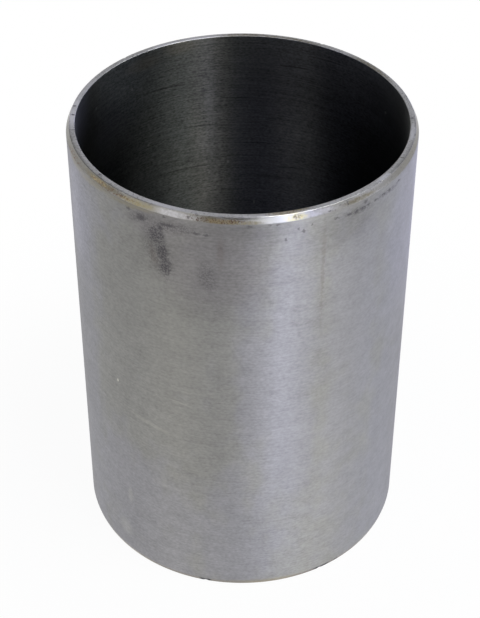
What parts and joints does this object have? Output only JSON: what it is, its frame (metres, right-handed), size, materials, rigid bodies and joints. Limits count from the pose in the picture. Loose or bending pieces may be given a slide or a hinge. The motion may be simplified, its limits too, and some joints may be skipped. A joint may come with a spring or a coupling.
{
  "type": "cylinder liner",
  "caption": "Thin-walled dry cylinder liner: a plain cast-iron sleeve with a ground outside, a honed bore, a chamfered upper end and a tapered lead-in below.",
  "frame": {"origin": "centre of the lower end face, on the bore axis", "axes": "+Z along the bore axis from the lower, lead-in end to the chamfered upper end; +X and +Y any two directions across the bore, because the liner is turned all round"},
  "size_m": [0.094, 0.094, 0.1315],
  "materials": {
    "cast_iron": "fine ground outside and turned ends, bare and lightly stained; dark honed bore"
  },
  "bodies": {
    "root": {"cylinder_liner": "cast_iron"}
  },
  "joints": []
}
